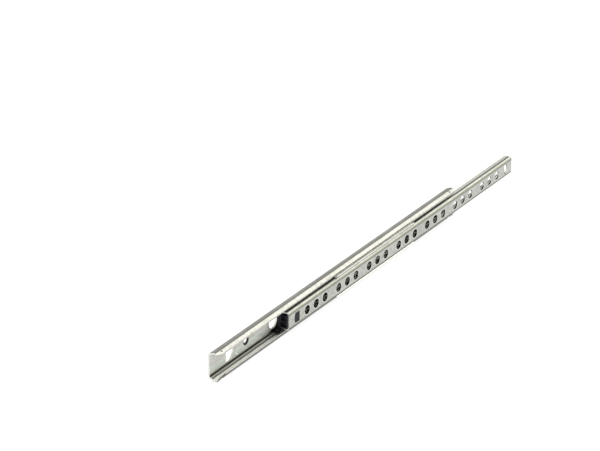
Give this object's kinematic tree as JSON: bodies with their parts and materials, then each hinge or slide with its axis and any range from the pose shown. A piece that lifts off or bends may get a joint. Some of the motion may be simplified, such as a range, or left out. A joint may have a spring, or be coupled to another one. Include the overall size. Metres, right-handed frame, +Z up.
{
  "type": "drawer slide",
  "caption": "Partial-extension ball-bearing drawer slide in zinc-plated steel: outer channel, holed inner channel, ball cage and black rear bumper, part way open.",
  "frame": {"origin": "middle of the outer channel's length and height, on the face that lies on the cabinet", "axes": "+X is the way the drawer pulls out, +Z is up, +Y is out of the cabinet face, so the drawer is on the -Y side"},
  "size_m": [0.31, 0.0088, 0.017],
  "materials": {
    "outer_steel": "zinc plated, satin",
    "inner_steel": "zinc plated, satin",
    "cage_steel": "zinc plated",
    "ball_steel": "polished",
    "black_plastic": "moulded, satin"
  },
  "bodies": {
    "outer": {"outer_member": "outer_steel"},
    "inner": {"inner_member": "inner_steel", "rear_bumper": "black_plastic"},
    "cage": {"ball_cage": "cage_steel"},
    "upper_ball_01": {"upper_ball_01": "ball_steel"},
    "upper_ball_02": {"upper_ball_02": "ball_steel"},
    "upper_ball_03": {"upper_ball_03": "ball_steel"},
    "upper_ball_04": {"upper_ball_04": "ball_steel"},
    "upper_ball_05": {"upper_ball_05": "ball_steel"},
    "upper_ball_06": {"upper_ball_06": "ball_steel"},
    "upper_ball_07": {"upper_ball_07": "ball_steel"},
    "upper_ball_08": {"upper_ball_08": "ball_steel"},
    "upper_ball_09": {"upper_ball_09": "ball_steel"},
    "lower_ball_01": {"lower_ball_01": "ball_steel"},
    "lower_ball_02": {"lower_ball_02": "ball_steel"},
    "lower_ball_03": {"lower_ball_03": "ball_steel"},
    "lower_ball_04": {"lower_ball_04": "ball_steel"},
    "lower_ball_05": {"lower_ball_05": "ball_steel"},
    "lower_ball_06": {"lower_ball_06": "ball_steel"},
    "lower_ball_07": {"lower_ball_07": "ball_steel"},
    "lower_ball_08": {"lower_ball_08": "ball_steel"},
    "lower_ball_09": {"lower_ball_09": "ball_steel"}
  },
  "joints": [
    {"name": "drawer_slide", "type": "slide", "parent": "outer", "child": "inner", "axis": [1, 0, 0], "range_m": [-0.064, 0.084]},
    {"name": "cage_slide", "type": "slide", "parent": "outer", "child": "cage", "axis": [1, 0, 0], "range_m": [-0.032, 0.042]},
    {"name": "upper_ball_01_roll", "type": "hinge", "parent": "cage", "child": "upper_ball_01", "pos_m": [-0.004, -0.0041, 0.0064], "axis": [0, 1, 0], "range_deg": [-1930, 1470]},
    {"name": "upper_ball_02_roll", "type": "hinge", "parent": "cage", "child": "upper_ball_02", "pos_m": [0.005, -0.0041, 0.0064], "axis": [0, 1, 0], "range_deg": [-1930, 1470]},
    {"name": "upper_ball_03_roll", "type": "hinge", "parent": "cage", "child": "upper_ball_03", "pos_m": [0.014, -0.0041, 0.0064], "axis": [0, 1, 0], "range_deg": [-1930, 1470]},
    {"name": "upper_ball_04_roll", "type": "hinge", "parent": "cage", "child": "upper_ball_04", "pos_m": [0.023, -0.0041, 0.0064], "axis": [0, 1, 0], "range_deg": [-1930, 1470]},
    {"name": "upper_ball_05_roll", "type": "hinge", "parent": "cage", "child": "upper_ball_05", "pos_m": [0.032, -0.0041, 0.0064], "axis": [0, 1, 0], "range_deg": [-1930, 1470]},
    {"name": "upper_ball_06_roll", "type": "hinge", "parent": "cage", "child": "upper_ball_06", "pos_m": [0.041, -0.0041, 0.0064], "axis": [0, 1, 0], "range_deg": [-1930, 1470]},
    {"name": "upper_ball_07_roll", "type": "hinge", "parent": "cage", "child": "upper_ball_07", "pos_m": [0.05, -0.0041, 0.0064], "axis": [0, 1, 0], "range_deg": [-1930, 1470]},
    {"name": "upper_ball_08_roll", "type": "hinge", "parent": "cage", "child": "upper_ball_08", "pos_m": [0.059, -0.0041, 0.0064], "axis": [0, 1, 0], "range_deg": [-1930, 1470]},
    {"name": "upper_ball_09_roll", "type": "hinge", "parent": "cage", "child": "upper_ball_09", "pos_m": [0.068, -0.0041, 0.0064], "axis": [0, 1, 0], "range_deg": [-1930, 1470]},
    {"name": "lower_ball_01_roll", "type": "hinge", "parent": "cage", "child": "lower_ball_01", "pos_m": [-0.004, -0.0041, -0.0064], "axis": [0, 1, 0], "range_deg": [-1470, 1930]},
    {"name": "lower_ball_02_roll", "type": "hinge", "parent": "cage", "child": "lower_ball_02", "pos_m": [0.005, -0.0041, -0.0064], "axis": [0, 1, 0], "range_deg": [-1470, 1930]},
    {"name": "lower_ball_03_roll", "type": "hinge", "parent": "cage", "child": "lower_ball_03", "pos_m": [0.014, -0.0041, -0.0064], "axis": [0, 1, 0], "range_deg": [-1470, 1930]},
    {"name": "lower_ball_04_roll", "type": "hinge", "parent": "cage", "child": "lower_ball_04", "pos_m": [0.023, -0.0041, -0.0064], "axis": [0, 1, 0], "range_deg": [-1470, 1930]},
    {"name": "lower_ball_05_roll", "type": "hinge", "parent": "cage", "child": "lower_ball_05", "pos_m": [0.032, -0.0041, -0.0064], "axis": [0, 1, 0], "range_deg": [-1470, 1930]},
    {"name": "lower_ball_06_roll", "type": "hinge", "parent": "cage", "child": "lower_ball_06", "pos_m": [0.041, -0.0041, -0.0064], "axis": [0, 1, 0], "range_deg": [-1470, 1930]},
    {"name": "lower_ball_07_roll", "type": "hinge", "parent": "cage", "child": "lower_ball_07", "pos_m": [0.05, -0.0041, -0.0064], "axis": [0, 1, 0], "range_deg": [-1470, 1930]},
    {"name": "lower_ball_08_roll", "type": "hinge", "parent": "cage", "child": "lower_ball_08", "pos_m": [0.059, -0.0041, -0.0064], "axis": [0, 1, 0], "range_deg": [-1470, 1930]},
    {"name": "lower_ball_09_roll", "type": "hinge", "parent": "cage", "child": "lower_ball_09", "pos_m": [0.068, -0.0041, -0.0064], "axis": [0, 1, 0], "range_deg": [-1470, 1930]}
  ],
  "couplings": [
    {"joint": "cage_slide", "follows": "drawer_slide", "ratio": 0.5},
    {"joint": "upper_ball_01_roll", "follows": "drawer_slide", "rad_per_m": -400},
    {"joint": "upper_ball_02_roll", "follows": "drawer_slide", "rad_per_m": -400},
    {"joint": "upper_ball_03_roll", "follows": "drawer_slide", "rad_per_m": -400},
    {"joint": "upper_ball_04_roll", "follows": "drawer_slide", "rad_per_m": -400},
    {"joint": "upper_ball_05_roll", "follows": "drawer_slide", "rad_per_m": -400},
    {"joint": "upper_ball_06_roll", "follows": "drawer_slide", "rad_per_m": -400},
    {"joint": "upper_ball_07_roll", "follows": "drawer_slide", "rad_per_m": -400},
    {"joint": "upper_ball_08_roll", "follows": "drawer_slide", "rad_per_m": -400},
    {"joint": "upper_ball_09_roll", "follows": "drawer_slide", "rad_per_m": -400},
    {"joint": "lower_ball_01_roll", "follows": "drawer_slide", "rad_per_m": 400},
    {"joint": "lower_ball_02_roll", "follows": "drawer_slide", "rad_per_m": 400},
    {"joint": "lower_ball_03_roll", "follows": "drawer_slide", "rad_per_m": 400},
    {"joint": "lower_ball_04_roll", "follows": "drawer_slide", "rad_per_m": 400},
    {"joint": "lower_ball_05_roll", "follows": "drawer_slide", "rad_per_m": 400},
    {"joint": "lower_ball_06_roll", "follows": "drawer_slide", "rad_per_m": 400},
    {"joint": "lower_ball_07_roll", "follows": "drawer_slide", "rad_per_m": 400},
    {"joint": "lower_ball_08_roll", "follows": "drawer_slide", "rad_per_m": 400},
    {"joint": "lower_ball_09_roll", "follows": "drawer_slide", "rad_per_m": 400}
  ]
}
